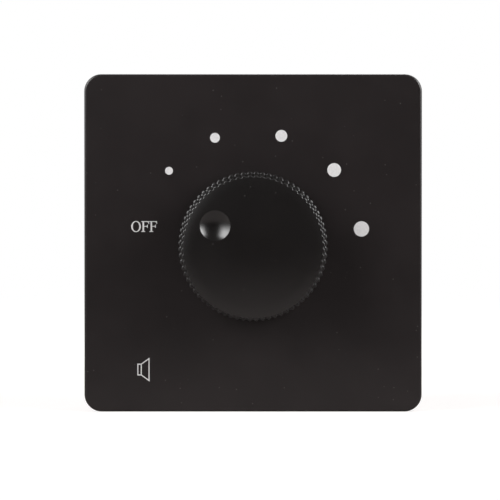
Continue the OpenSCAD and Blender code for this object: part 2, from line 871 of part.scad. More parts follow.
module bobbin() {
    color("#1d2a52") on_wall() difference() {
        union() {
            on_core(core_z) cube([2 * tube_x, bobbin_l, 2 * tube_z], center = true);
            for (end = [-1, 1]) {
                on_core() translate([0, end * (bobbin_l - flange_t) / 2, 0]) bobbin_flange();
                on_core() translate([0, end * rail_y, 0]) bobbin_rail();
            }
        }
        on_core(core_z)
            cube([core_leg + 2 * seat_gap, window_l + over, stack_t + 2 * seat_gap], center = true);
        at_rail_pins() rod(pin_d + 2 * seat_gap, board_back - rail_pin_depth - seat_gap, board_back + over);
    }
}

module bobbin_pins() {
    color("#d8d8d4") on_wall() at_rail_pins() rod(pin_d, board_back - rail_pin_depth, tail_tip);
}

// Layer round the bobbin's tube, from one distance outside the tube to another
module coil_layer(from, to) {
    rotate([90, 0, 0]) linear_extrude(coil_l, center = true) difference() {
        rounded_rect(2 * (tube_x + to), 2 * (tube_z + to), to);
        rounded_rect(2 * (tube_x + from), 2 * (tube_z + from), from);
    }
}

module winding() {
    color("#b5652b") on_wall() on_core(core_z) coil_layer(seat_gap, winding_t);
}

module winding_tape() {
    color("#d9b23a") on_wall() on_core(core_z) coil_layer(winding_t + seat_gap, winding_t + tape_t);
}

module core_plate(from_y, to_y) {
    translate([-core_w / 2, from_y]) square([core_w, to_y - from_y]);
}

module core_bolt_holes() {
    corners(core_bolt_x, core_bolt_y) circle(d = core_bolt_d + 2 * seat_gap);
}

module core_e_stack() {
    window_x = (core_leg + window_w) / 2;
    color("#6f7378") on_wall() on_core(stack_back) linear_extrude(stack_t) difference() {
        core_plate(-core_l / 2, window_l / 2);
        for (side = [-1, 1])
            translate([side * window_x, over]) square([window_w, window_l + 2 * over], center = true);
        core_bolt_holes();
    }
}

module core_i_stack() {
    color("#6f7378") on_wall() on_core(stack_back) linear_extrude(stack_t) difference() {
        core_plate(window_l / 2 + seat_gap, core_l / 2);
        core_bolt_holes();
    }
}

module core_bolts() {
    color("#b9b9b6") on_wall() at_core_bolts() rear_screw(core_bolt_d, core_bolt_l, stack_back);
}

module core_spacers() {
    color("#c9c9c4") on_wall() at_core_bolts()
        sleeve(spacer_d, core_bolt_d + 2 * seat_gap, stack_front, board_back);
}

module core_nuts() {
    color("#c9c9c4") on_wall() at_core_bolts()
        hex_nut(core_nut_af, core_bolt_d + 2 * seat_gap, board_top, board_top + core_nut_t);
}

// Terminals

module tongue(gap) {
    front = clamp_w / 2;
    back = leg_y + tongue_t / 2;
    translate([0, (back - front) / 2, 0])
        bar(tongue_w + 2 * gap, back + front + 2 * gap, tongue_z - gap, tongue_top + gap);
    translate([0, leg_y, 0])
        bar(tongue_w + 2 * gap, tongue_t + 2 * gap, -board_t - pin_tail - gap, tongue_top + gap);
}

module terminal_room() {
    bar(room_w, room_w, terminal_floor, room_top);
    translate([0, -terminal_d / 2, 0]) bar(entry_w, terminal_d, wire_floor, tongue_z);
    rod(terminal_screw_d + 2 * run_gap, room_top - over, head_z + over);
    rod(terminal_head_d + 2 * guide_gap, head_z, terminal_h + over);
    tongue(seat_gap);
}

module terminal_housing() {
    color("#2f7d4f") on_wall() difference() {
        translate([0, terminal_y, board_back]) mirror([0, 0, 1]) bar(terminal_w, terminal_d, 0, terminal_h);
        for (i = [1 : poles]) on_pole(i) terminal_room();
    }
}

module terminal_tongues() {
    color("#c8c3a6") on_wall() for (i = [1 : poles]) on_pole(i) tongue(0);
}

module terminal_screw(i) {
    tip = clamp_ceiling + seat_gap;
    color("#b9b9b6") on_wall() on_pole(i) translate([0, 0, head_z + run_gap])
        pan_screw(terminal_screw_d, head_z + run_gap - tip, terminal_head_d, terminal_head_h);
}

module terminal_clamp(i) {
    color("#c4bd93") on_wall() on_pole(i) difference() {
        bar(clamp_w, clamp_w, clamp_bottom, clamp_top);
        bar(clamp_w - 2 * clamp_t, clamp_w + over, wire_floor, clamp_ceiling);
        rod(terminal_screw_d + 2 * run_gap, clamp_ceiling - over, clamp_top + over);
    }
}

front_plate();
mounting_frame();
knob();
knob_leaf();
switch_shaft();
shaft_ring();
switch_cover();
bush_washer();
bush_nut();
switch_housing();
detent_wheel();
detent_spring();
contact_rotor();
wiper();
contact_wafer();
step_contacts();
common_contact();
tie_screws();
circuit_board();
board_screws();
bobbin();
bobbin_pins();
winding();
winding_tape();
core_e_stack();
core_i_stack();
core_bolts();
core_spacers();
core_nuts();
terminal_housing();
terminal_tongues();
for (i = [1 : poles]) {
    terminal_screw(i);
    terminal_clamp(i);
}
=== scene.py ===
"""Looks of the wall volume control: finer front pieces, printed marks, tracks, solder and tape on the
rear, finishes, camera and light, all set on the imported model. Lengths are in millimetres, right, up and
out from the wall, and MM turns them into metres. Lamps and the floor's fades are in metres."""

import json
import math
from itertools import accumulate

import bmesh
import bpy
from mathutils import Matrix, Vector


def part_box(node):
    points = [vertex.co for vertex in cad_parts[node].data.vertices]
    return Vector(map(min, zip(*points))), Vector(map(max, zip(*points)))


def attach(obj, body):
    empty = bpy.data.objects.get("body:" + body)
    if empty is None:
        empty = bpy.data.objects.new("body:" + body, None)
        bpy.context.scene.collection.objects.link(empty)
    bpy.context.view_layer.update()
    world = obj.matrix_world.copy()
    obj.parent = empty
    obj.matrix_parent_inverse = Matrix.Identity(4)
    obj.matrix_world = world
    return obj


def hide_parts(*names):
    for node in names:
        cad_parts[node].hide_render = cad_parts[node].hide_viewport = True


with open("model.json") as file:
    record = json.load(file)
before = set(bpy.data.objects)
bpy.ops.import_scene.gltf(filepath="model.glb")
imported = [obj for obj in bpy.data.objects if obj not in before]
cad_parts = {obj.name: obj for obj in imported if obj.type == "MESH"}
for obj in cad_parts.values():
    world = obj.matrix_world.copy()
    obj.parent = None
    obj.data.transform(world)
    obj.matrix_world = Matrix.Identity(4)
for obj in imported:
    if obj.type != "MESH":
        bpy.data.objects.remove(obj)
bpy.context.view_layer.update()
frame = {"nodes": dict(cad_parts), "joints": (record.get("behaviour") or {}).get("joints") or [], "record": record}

MM = 0.001
JOINTS = {joint["name"]: joint for joint in frame["joints"]}


def span(node):
    """Ends of a node at rest: left and right, low and high, back and front."""
    low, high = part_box(node)
    return (low.x / MM, high.x / MM), (low.z / MM, high.z / MM), (-high.y / MM, -low.y / MM)


# Front plate, with distances out from the wall
(PLATE_LEFT, PLATE_RIGHT), _, (PLATE_BACK, PLATE_FACE) = span("front_plate")
PLATE_SIZE = PLATE_RIGHT - PLATE_LEFT
PLATE_FACE_T = 2.2
PLATE_CORNER_R = 4.4
PLATE_EDGE_R = 0.6
PLATE_RIM = 1.8
PLATE_HOLE_R = 8.0
HOLE_BEVEL = 0.3
NOTCH_W = 8.0
NOTCH_H = 1.2
CLIP_W = 12.0
CLIP_REACH = 0.9
CLIP_H = 0.8
CLIP_OUT = 2.6
CLIP_X = 22.0

# Knob, with heights from its base
_, _, (KNOB_BACK, KNOB_FRONT) = span("knob")
AXIS_UP = JOINTS["knob_turn"]["pos_m"][2] / MM
KNOB_OUT = 9.3
KNOB_R = 19.1
KNOB_H = KNOB_FRONT - KNOB_OUT
KNOB_DOME = 1.0
FACE_ROLL = 0.15
ROLL_START_R = 15.0
KNOB_EDGE_R = 0.32
RIDGE_R = 18.2
RIDGE_DRAFT = 0.45
TOE_H = 0.3
TOE_FILLET = 0.42
TOE_HALF_W = 0.75
TOE_LEAST = 0.4
KNOB_WALL = 2.2
KNOB_FACE_T = 3.4
HUB_R = 5.5
HUB_TAIL = KNOB_OUT - KNOB_BACK
BORE_R = 3.05
BORE_FLAT = 2.0
BORE_H = 8.7
KNOB_RIBS = 6
RIB_T = 1.2
RIB_FOOT = 0.8
RIB_SINK = 0.3
FLUTES = 72
FLUTE_R = 0.42
FLUTE_DEPTH = 0.42
FLUTE_FADE = 0.65
FLUTE_SOFT = 0.2
SIDE_DULL = 0.05
SIDE_DULL_FADE = 0.4
DIMPLE_R = 3.9
DIMPLE_DEPTH = 1.3
DIMPLE_PITCH = 11.4
DIMPLE_ANGLE = math.radians(150)
FACE_R = RIDGE_R - KNOB_EDGE_R
DOME_R = (FACE_R ** 2 + KNOB_DOME ** 2) / (2 * KNOB_DOME)
CAVITY_R = RIDGE_R - KNOB_WALL
CAVITY_H = KNOB_H - KNOB_FACE_T

# Printed marks, from the plate's middle; each dot has its place and its width
INK_T = 0.03
DOTS = ((-21.4, 18.4, 2.0), (-9.7, 26.8, 2.5), (7.2, 27.3, 3.0), (20.65, 18.6, 3.5), (27.6, 3.6, 3.9))
OFF_X = -31.05
OFF_UP = 2.85
CAP_H = 2.72
O_ADVANCE = 2.55
F_ADVANCE = 2.05
ICON_X = -29.36
ICON_UP = -32.25
ICON_LINE = 0.27

# Tape round the coil
(_, TAPE_HALF_W), (TAPE_LOW, TAPE_HIGH), (TAPE_BACK, TAPE_FRONT) = span("winding_tape")
TAPE_L = TAPE_HIGH - TAPE_LOW
TAPE_CORNER_R = 5.1
TAPE_T = 0.25
TAPE_END_X = 5.5
TAPE_STEP = 0.1
TAPE_CROWN = 0.07
WIRE_D = 0.55
WIRE_SHOW = 0.05
CORE_UP = (TAPE_LOW + TAPE_HIGH) / 2

# Circuit board on the rear, with distances out from the wall
_, _, (BOARD_BACK, BOARD_FRONT) = span("circuit_board")
CONTACTS = 6
CONTACT_PITCH_R = 8.0
CONTACT_START = math.radians(150)
CONTACT_STEP = math.radians(-30)
COMMON_PITCH_R = 4.5
RAIL_PINS = (-10.5, -3.5, 3.5, 10.5)
RAIL_REACH = 10.8
LEGS = [JOINTS[f"screw_{i}_turn"]["pos_m"][0] / MM for i in (1, 2, 3, 4)]
LEG_UP = -22.4
LEG_STRETCH = 1.5
TRACK_W = 1.5
TRACK_T = 0.07
PRINT_GAP = 0.6
PRINT_LINE = 0.25
# Solder round a pin: radius, and height from the board
SOLDER = (
    (0.45, -0.05), (1.2, -0.05), (1.2, 0.04), (0.95, 0.15),
    (0.74, 0.38), (0.6, 0.7), (0.53, 1.0), (0.45, 1.06),
)

# Finishes: sizes of what varies over a surface, and how much it varies
MOTTLE_SIZE = 14
SHEEN_SIZE = 9
SHEEN_SWING = 0.008
DUST_PITCH = 2.0
DUST_R = 0.2
TARNISH_SIZE = 2.5
TARNISH_DARK = 0.82
TARNISH_BRIGHT = 1.08
LINE_POLISH = 0.08
LINE_DULL = 0.1
# Scale of the band texture at which one band is one unit wide
BAND_SCALE = 0.314

# Camera
CAMERA_DISTANCE = 1200.0
CAMERA_RISE = math.radians(1.5)
VIEW_WIDTH = 127.35
AIM_X = -0.78
AIM_UP = -1.77
SENSOR = 36.0

# Lamps: shares of their width and height that fade, and light left at the foot
LAMP_SIDE_FADE = 0.22
LAMP_FOOT = 0.15
LAMP_FOOT_FADE = 0.45

# World and floor; the fades go from a start to an end
WORLD_DIM = (0.05, 0.05, 0.05, 1)
WHITE = (1, 1, 1, 1)
WORLD_BEHIND = (-0.2, 0.3)
PAPER = (0.42, 0.385, 0.375)
NO_PAPER = (0.0, 0.0, 0.0)
NEAR_GLOW = 0.74
GLOW_FADE = (0.1, 0.4)
PAPER_FADE = (0.3, 0.8)
AHEAD_FADE = (-0.48, 0.1)
BEHIND_FADE = (0, 0.2)
FLOOR_HALF = 3000.0
FLOOR_GAP = 0.05


# Building blocks


def place(x, up, out):
    """Point in the part's frame, in metres, from millimetres right, up and out of the wall."""
    return Vector((x, -out, up)) * MM


def skin(rings, closed=False):
    """Points and faces through rings of points; a ring of one point closes an end."""
    points = [point for ring in rings for point in ring]
    starts = list(accumulate([0] + [len(ring) for ring in rings]))
    pairs = list(zip(range(len(rings) - 1), range(1, len(rings))))
    if closed:
        pairs.append((len(rings) - 1, 0))
    faces = []
    for first, second in pairs:
        count = max(len(rings[first]), len(rings[second]))
        for i in range(count):
            corners = [starts[ring] + step % len(rings[ring])
                       for ring, step in ((first, i), (first, i + 1), (second, i + 1), (second, i))]
            faces.append(list(dict.fromkeys(corners)))
    return points, faces


def block(low, high):
    """Points and faces of a box between two corners."""
    ring = [(low[0], low[1]), (high[0], low[1]), (high[0], high[1]), (low[0], high[1])]
    points = [(x, up, out) for out in (low[2], high[2]) for x, up in ring]
    faces = [[0, 1, 2, 3], [4, 5, 6, 7]]
    faces += [[i, (i + 1) % 4, 4 + (i + 1) % 4, 4 + i] for i in range(4)]
    return points, faces


def build(name, shapes, material, body, sharp=35):
    """One piece from several shapes, smooth except at edges sharper than an angle in degrees."""
    points = []
    faces = []
    for shape_points, shape_faces in shapes:
        start = len(points)
        points += [place(*point) for point in shape_points]
        faces += [[start + corner for corner in face] for face in shape_faces]
    mesh = bpy.data.meshes.new(name)
    mesh.from_pydata(points, [], faces)
    shell = bmesh.new()
    shell.from_mesh(mesh)
    bmesh.ops.recalc_face_normals(shell, faces=shell.faces)
    for face in shell.faces:
        face.smooth = True
    shell.to_mesh(mesh)
    shell.free()
    mesh.set_sharp_from_angle(angle=math.radians(sharp))
    mesh.materials.append(material)
    piece = bpy.data.objects.new(name, mesh)
    bpy.context.scene.collection.objects.link(piece)
    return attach(piece, body)


# Finishes


def connect(tree, value, socket):
    """Links an output to a socket, or sets a plain value on it."""
    if isinstance(value, bpy.types.NodeSocket):
        tree.links.new(value, socket)
    else:
        socket.default_value = value


def add_node(tree, kind, settings=None, **inputs):
    """New node with its settings, and its inputs by name in lower case with underscores."""
    made = tree.nodes.new(kind)
    for key, value in (settings or {}).items():
        setattr(made, key, value)
    for key, value in inputs.items():
        connect(tree, value, made.inputs[key.replace("_", " ").title()])
    return made


def new_finish(name, **inputs):
    """Material with its node tree, its shader and the coordinates of its object."""
    material = bpy.data.materials.new(name)
    material.use_nodes = True
    tree = material.node_tree
    shader = tree.nodes["Principled BSDF"]
    for key, value in inputs.items():
        shader.inputs[key.replace("_", " ").title().replace("Ior", "IOR")].default_value = value
    coords = add_node(tree, "ShaderNodeTexCoord").outputs["Object"]
    return material, tree, shader, coords


def noise(tree, coords, size, detail=2.0):
    """Noise whose grains are about size millimetres across."""
    made = add_node(tree, "ShaderNodeTexNoise", vector=coords, scale=1 / (size * MM), detail=detail)
    return made.outputs["Fac"]


def ramp(tree, factor, low, high, start=0.3, end=0.7):
    """Colour that goes from low to high as factor goes from start to end."""
    made = add_node(tree, "ShaderNodeValToRGB", fac=factor)
    made.color_ramp.interpolation = "EASE"
    stops = made.color_ramp.elements
    stops[0].position = start
    stops[0].color = (*low, 1)
    stops[1].position = end
    stops[1].color = (*high, 1)
    return made.outputs["Color"]


def spread(tree, factor, low, high, start=0.3, end=0.7):
    """Number that goes from low to high as factor goes from start to end."""
    made = add_node(tree, "ShaderNodeMapRange", {"interpolation_type": "SMOOTHSTEP"}, value=factor,
                    from_min=start, from_max=end, to_min=low, to_max=high)
    return made.outputs["Result"]


def blend(tree, factor, low, high):
    """Colour between two colours."""
    made = tree.nodes.new("ShaderNodeMix")
    made.data_type = "RGBA"
    sockets = [socket for socket in made.inputs if socket.enabled]
    for socket, value in zip(sockets, (factor, low, high)):
        if isinstance(value, tuple):
            value = (*value, 1)
        connect(tree, value, socket)
    return [socket for socket in made.outputs if socket.enabled][0]


def combine(tree, operation, first, second):
    """Sum, product or greater of two numbers, kept between 0 and 1."""
    made = add_node(tree, "ShaderNodeMath", {"operation": operation, "use_clamp": True})
    connect(tree, first, made.inputs[0])
    connect(tree, second, made.inputs[1])
    return made.outputs["Value"]


def length_of(tree, vector):
    """Length of a vector."""
    made = add_node(tree, "ShaderNodeVectorMath", {"operation": "LENGTH"})
    connect(tree, vector, made.inputs[0])
    return made.outputs["Value"]


def bands(tree, coords, direction, pitch, distortion):
    """Waves across a direction, one to each pitch in millimetres."""
    made = add_node(tree, "ShaderNodeTexWave", {"bands_direction": direction}, vector=coords,
                    scale=BAND_SCALE / (pitch * MM), distortion=distortion)
    return made.outputs["Fac"]


def shade(colour, factor):
    """The same colour, lighter or darker."""
    return tuple(min(1.0, part * factor) for part in colour)


def relief(tree, shader, height, depth, edge=0.0):
    """Surface relief of a depth in millimetres, on edges softened by a radius in millimetres."""
    bump = add_node(tree, "ShaderNodeBump", height=height, strength=1.0, distance=depth * MM)
    if edge:
        soft = add_node(tree, "ShaderNodeBevel", {"samples": 4}, radius=edge * MM)
        tree.links.new(soft.outputs["Normal"], bump.inputs["Normal"])
    tree.links.new(bump.outputs["Normal"], shader.inputs["Normal"])


def specks(tree, coords, pitch, radius):
    """Mask of sparse round specks: one in a few cells of a pitch in millimetres."""
    solid_share = 0.3
    bare_cells = 0.62
    full_from = 0.7
    cells = add_node(tree, "ShaderNodeTexVoronoi", vector=coords, scale=1 / (pitch * MM))
    near = spread(tree, cells.outputs["Distance"], 1, 0, solid_share * radius / pitch, radius / pitch)
    pick = add_node(tree, "ShaderNodeSeparateColor", color=cells.outputs["Color"])
    chosen = spread(tree, pick.outputs["Red"], 0, 1, bare_cells, full_from)
    return combine(tree, "MULTIPLY", near, chosen)


def moulded(name, colour, roughness, grain=0.25, depth=0.004, mottle=0.08, dust=None, edge=0.0, **inputs):
    """Moulded plastic: fine grain, uneven colour and sheen, and dust of a given colour."""
    material, tree, shader, coords = new_finish(name, **inputs)
    clouds = noise(tree, coords, MOTTLE_SIZE)
    tone = ramp(tree, clouds, shade(colour, 1 - mottle), shade(colour, 1 + mottle))
    if dust:
        tone = blend(tree, specks(tree, coords, DUST_PITCH, DUST_R), tone, dust)
    tree.links.new(tone, shader.inputs["Base Color"])
    uneven = noise(tree, coords, SHEEN_SIZE, detail=1)
    sheen = spread(tree, uneven, roughness - SHEEN_SWING, roughness + SHEEN_SWING)
    tree.links.new(sheen, shader.inputs["Roughness"])
    relief(tree, shader, noise(tree, coords, grain, detail=3), depth, edge)
    return material


def metal(name, colour, roughness, grain=(0.08, 0.08, 1.2), depth=0.002, edge=0.0):
    """Plated or rolled metal: fine drawn lines along the part's length and a cloudy tarnish."""
    material, tree, shader, coords = new_finish(name, metallic=1.0)
    clouds = noise(tree, coords, TARNISH_SIZE, detail=4)
    tone = ramp(tree, clouds, shade(colour, TARNISH_DARK), shade(colour, TARNISH_BRIGHT))
    tree.links.new(tone, shader.inputs["Base Color"])
    stretch = add_node(tree, "ShaderNodeMapping", vector=coords)
    stretch.inputs["Scale"].default_value = [1 / (size * MM) for size in grain]
    drawn = add_node(tree, "ShaderNodeTexNoise", vector=stretch.outputs["Vector"], scale=1.0, detail=2.0)
    lines = drawn.outputs["Fac"]
    dull = spread(tree, lines, roughness - LINE_POLISH, roughness + LINE_DULL)
    tree.links.new(dull, shader.inputs["Roughness"])
    relief(tree, shader, lines, depth, edge)
    return material


def plate_black():
    return moulded("plate_black", (0.0181, 0.0149, 0.015), roughness=0.26, grain=0.22, depth=0.0015,
                   dust=(0.085, 0.08, 0.075))


def off_axis(tree, coords):
    """Distance from the knob's axis."""
    flat = add_node(tree, "ShaderNodeVectorMath", {"operation": "MULTIPLY_ADD"})
    tree.links.new(coords, flat.inputs[0])
    flat.inputs[1].default_value = (1, 0, 1)
    flat.inputs[2].default_value = (0, 0, -AXIS_UP * MM)
    return length_of(tree, flat.outputs["Vector"])


def knob_black():
    """Polished black, a little duller on the fluted side than on the face."""
    material = moulded("knob_black", (0.0058, 0.0046, 0.0044), roughness=0.26, grain=0.3, depth=0.0004,
                       dust=(0.06, 0.056, 0.053), specular_ior_level=0.9)
    tree = material.node_tree
    roughness = tree.nodes["Principled BSDF"].inputs["Roughness"]
    sheen = roughness.links[0].from_socket
    radius = off_axis(tree, tree.nodes["Texture Coordinate"].outputs["Object"])
    dull = spread(tree, radius, 0, SIDE_DULL, (RIDGE_R - SIDE_DULL_FADE) * MM, RIDGE_R * MM)
    tree.links.new(combine(tree, "ADD", sheen, dull), roughness)
    return material


def frame_grey():
    return moulded("frame_grey", (0.045, 0.045, 0.05), roughness=0.5, grain=0.3, depth=0.006, edge=0.2)


def cast_zinc():
    return metal("cast_zinc", (0.62, 0.62, 0.63), roughness=0.42, grain=(0.15, 0.15, 0.15), depth=0.012,
                 edge=0.15)


def steel():
    return metal("steel", (0.66, 0.66, 0.64), roughness=0.28, edge=0.08)


def brass_nut():
    return metal("brass_nut", (0.75, 0.66, 0.42), roughness=0.25, edge=0.12)


def phenolic():
    return moulded("phenolic", (0.11, 0.05, 0.025), roughness=0.38, grain=0.12, mottle=0.25, edge=0.08)


def housing_green():
    return moulded("housing_green", (0.03, 0.075, 0.042), roughness=0.42, edge=0.15)


def nylon():
    return moulded("nylon", (0.7, 0.66, 0.54), roughness=0.4, mottle=0.04, edge=0.12)


def contact_silver():
    return metal("contact_silver", (0.84, 0.82, 0.76), roughness=0.24, edge=0.06)


def bronze():
    return metal("bronze", (0.72, 0.42, 0.2), roughness=0.28, edge=0.06)


def board_green():
    """Solder mask over glass weave, with the bare laminate showing on the sawn edges."""
    weave_pitch = 0.45
    material, tree, shader, coords = new_finish("board_green", roughness=0.28)
    clouds = noise(tree, coords, size=6, detail=3)
    mask = ramp(tree, clouds, (0.012, 0.085, 0.03), (0.022, 0.13, 0.05))
    fibres = noise(tree, coords, size=0.3, detail=3)
    laminate = ramp(tree, fibres, (0.28, 0.24, 0.1), (0.45, 0.4, 0.2))
    normal = add_node(tree, "ShaderNodeNewGeometry").outputs["True Normal"]
    facing = add_node(tree, "ShaderNodeSeparateXYZ", vector=normal)
    squarely = add_node(tree, "ShaderNodeMath", {"operation": "ABSOLUTE"})
    tree.links.new(facing.outputs["Y"], squarely.inputs[0])
    on_face = spread(tree, squarely.outputs["Value"], 0, 1, start=0.4, end=0.6)
    tree.links.new(blend(tree, on_face, laminate, mask), shader.inputs["Base Color"])
    weave = add_node(tree, "ShaderNodeTexChecker", vector=coords, scale=1 / (weave_pitch * MM))
    relief(tree, shader, weave.outputs["Fac"], depth=0.003)
    return material


def masked_copper():
    """Solder mask where copper under it shows through."""
    material, tree, shader, coords = new_finish("masked_copper", roughness=0.24)
    clouds = noise(tree, coords, size=5, detail=3)
    tone = ramp(tree, clouds, (0.035, 0.17, 0.055), (0.055, 0.22, 0.075))
    tree.links.new(tone, shader.inputs["Base Color"])
    relief(tree, shader, noise(tree, coords, size=0.6), depth=0.006, edge=0.05)
    return material


def solder_tin():
    return metal("solder_tin", (0.7, 0.7, 0.69), roughness=0.22, grain=(0.5, 0.5, 0.5), depth=0.02)


def bobbin_blue():
    return moulded("bobbin_blue", (0.012, 0.022, 0.085), roughness=0.4, edge=0.15)


def copper():
    """Enamelled wire, turn beside turn up the coil, with painted shade in the grooves between turns."""
    material, tree, shader, coords = new_finish("copper", metallic=1.0, roughness=0.3)
    turns = bands(tree, coords, "Z", pitch=0.4, distortion=0.4)
    # Painted shade: the colour darkens towards the grooves between the turns
    tone = ramp(tree, turns, (0.2, 0.06, 0.02), (0.72, 0.3, 0.12))
    tree.links.new(tone, shader.inputs["Base Color"])
    relief(tree, shader, turns, depth=0.1)
    return material


def tape_yellow():
    """Glossy polyester film, a little creased and uneven over the wire."""
    material, tree, shader, coords = new_finish("tape_yellow", roughness=0.22, coat_weight=0.3)
    clouds = noise(tree, coords, size=4, detail=4)
    tone = ramp(tree, clouds, (0.52, 0.33, 0.02), (0.68, 0.45, 0.045))
    tree.links.new(tone, shader.inputs["Base Color"])
    relief(tree, shader, noise(tree, coords, size=1.5, detail=3), depth=0.05)
    return material


def lamination():
    """Varnished stack of half-millimetre sheets, seen edge on."""
    material, tree, shader, coords = new_finish("lamination", metallic=0.85)
    sheets = bands(tree, coords, "Y", pitch=0.5, distortion=0.3)
    clouds = noise(tree, coords, size=3, detail=4)
    bare = ramp(tree, clouds, (0.1, 0.1, 0.105), (0.2, 0.205, 0.22))
    seams = spread(tree, sheets, 0.75, 0, start=0.05, end=0.35)
    tone = blend(tree, seams, bare, (0.02, 0.02, 0.022))
    tree.links.new(tone, shader.inputs["Base Color"])
    varnish = spread(tree, noise(tree, coords, size=1.2, detail=4), 0.32, 0.55)
    tree.links.new(varnish, shader.inputs["Roughness"])
    relief(tree, shader, sheets, depth=0.04, edge=0.1)
    return material


def terminal_green():
    return moulded("terminal_green", (0.025, 0.2, 0.075), roughness=0.36, edge=0.15)


def white_ink():
    """Screen-printed ink, a little uneven."""
    material, tree, shader, coords = new_finish("white_ink", roughness=0.45)
    clouds = noise(tree, coords, size=0.5, detail=3)
    tone = ramp(tree, clouds, (0.71, 0.7, 0.7), (0.79, 0.78, 0.78))
    tree.links.new(tone, shader.inputs["Base Color"])
    relief(tree, shader, noise(tree, coords, size=0.15), depth=0.004)
    return material


FINISHES = (plate_black, knob_black, frame_grey, cast_zinc, steel, brass_nut, phenolic, housing_green,
            nylon, contact_silver, bronze, board_green, bobbin_blue, copper, tape_yellow, lamination,
            terminal_green)


def finish_nodes():
    """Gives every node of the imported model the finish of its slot, and returns the finishes."""
    made = {finish.__name__: finish() for finish in FINISHES}
    for row in frame["record"]["subparts"]:
        slots = frame["nodes"][row["node"]].data.materials
        slots.clear()
        slots.append(made[row["material_slot"]])
    return made


# Front plate


def square_ring(side, radius, out, notch=0.0):
    """Ring round a rounded square; notch lifts the middle of its lower side off the wall."""
    half = side / 2
    straight = half - radius
    corner_steps = 12
    notch_edge = 0.02
    notch_x = (-NOTCH_W / 2, notch_edge - NOTCH_W / 2, NOTCH_W / 2 - notch_edge, NOTCH_W / 2)
    side_points = [(x, -half) for x in notch_x]
    for step in range(corner_steps + 1):
        turn = math.pi / 2 * (step / corner_steps - 1)
        side_points.append((straight + radius * math.cos(turn), radius * math.sin(turn) - straight))
    ring = []
    for quarter in range(4):
        for i, (x, up) in enumerate(side_points):
            lift = notch if quarter == 0 and i in (1, 2) else 0
            for _ in range(quarter):
                x, up = -up, x
            ring.append((x, up, out + lift))
    return ring


def hole_ring(ring, radius, out):
    """Ring round the knob's axis, each point on the line from the axis to one of another ring."""
    turns = [math.atan2(up - AXIS_UP, x) for x, up, _ in ring]
    return [(radius * math.cos(turn), AXIS_UP + radius * math.sin(turn), out) for turn in turns]


def front_plate(finishes):
    """The plate's shell: rim, rounded edge, face, hole, inside and prising notch, and its clip beads."""
    inside = PLATE_SIZE - 2 * PLATE_RIM
    inside_r = PLATE_CORNER_R - PLATE_RIM
    inside_out = PLATE_FACE - PLATE_FACE_T
    edge_steps = 8
    rings = [square_ring(PLATE_SIZE, PLATE_CORNER_R, PLATE_BACK, NOTCH_H)]
    for step in range(edge_steps + 1):
        turn = math.pi / 2 * step / edge_steps
        inset = PLATE_EDGE_R * (1 - math.cos(turn))
        out = PLATE_FACE - PLATE_EDGE_R * (1 - math.sin(turn))
        rings.append(square_ring(PLATE_SIZE - 2 * inset, PLATE_CORNER_R - inset, out))
    rings.append(hole_ring(rings[-1], PLATE_HOLE_R + HOLE_BEVEL, PLATE_FACE))
    rings.append(hole_ring(rings[0], PLATE_HOLE_R, PLATE_FACE - HOLE_BEVEL))
    rings.append(hole_ring(rings[0], PLATE_HOLE_R, inside_out))
    rings.append(square_ring(inside, inside_r, inside_out))
    rings.append(square_ring(inside, inside_r, PLATE_BACK, NOTCH_H))
    shapes = [skin(rings, closed=True)]
    for side in (-1, 1):
        for x in (-CLIP_X, CLIP_X):
            reach = sorted((side * (inside / 2 - CLIP_REACH), side * inside / 2))
            low = (x - CLIP_W / 2, reach[0], CLIP_OUT)
            high = (x + CLIP_W / 2, reach[1], CLIP_OUT + CLIP_H)
            shapes.append(block(low, high))
    piece = build("front_cover", shapes, finishes["plate_black"], "base")
    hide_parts("front_plate")


# Knob


def knob_columns():
    """Columns of points round the knob: angle, radius of the fluted side, and share of the toe there."""
    hollow_steps = 12
    land_steps = 4
    half_pitch = math.pi / FLUTES
    half_hollow = math.sqrt(FLUTE_R ** 2 - (FLUTE_R - FLUTE_DEPTH) ** 2) / RIDGE_R
    offsets = [half_hollow * (2 * i / hollow_steps - 1) for i in range(hollow_steps + 1)]
    gap = 2 * (half_pitch - half_hollow) / land_steps
    offsets += [half_hollow + gap * i for i in range(1, land_steps)]
    columns = []
    for flute in range(FLUTES):
        for offset in offsets:
            side = soft_least(RIDGE_R, flute_floor(offset), FLUTE_SOFT)
            from_ridge = abs(half_pitch - abs(offset)) * RIDGE_R
            bump = math.cos(math.pi / 2 * min(from_ridge / TOE_HALF_W, 1)) ** 2
            toe = TOE_LEAST + (1 - TOE_LEAST) * bump
            columns.append((2 * half_pitch * flute + offset, side, toe))
    return columns


def flute_floor(offset):
    """Radius of a flute's floor at an angle from its middle."""
    centre = RIDGE_R + FLUTE_R - FLUTE_DEPTH
    reach = FLUTE_R ** 2 - (centre * math.sin(offset)) ** 2
    if reach <= 0:
        return centre
    return centre * math.cos(offset) - math.sqrt(reach)


def soft_least(a, b, radius):
    """The smaller of two numbers, with the change from one to the other rounded."""
    share = max(radius - abs(a - b), 0) / radius
    return min(a, b) - share ** 2 * radius / 4


def knob_point(turn, radius, height):
    """Point at an angle and a distance from the knob's axis, and at a height from its base."""
    return radius * math.cos(turn), AXIS_UP + radius * math.sin(turn), KNOB_OUT + height


def dome_height(radius):
    """Height of the face: a dome that rolls off a little more towards its edge."""
    roll = max(radius - ROLL_START_R, 0) / (FACE_R - ROLL_START_R)
    return KNOB_H - DOME_R + math.sqrt(DOME_R ** 2 - radius ** 2) - FACE_ROLL * roll ** 2


def edge_ring(columns, slope):
    """Ring round the rounded front edge, which follows the flutes, where it has a slope."""
    ring = []
    for turn, side, _ in columns:
        inner = side - KNOB_EDGE_R
        height = dome_height(inner) - KNOB_EDGE_R * (1 - math.cos(slope))
        ring.append(knob_point(turn, inner + KNOB_EDGE_R * math.sin(slope), height))
    return ring


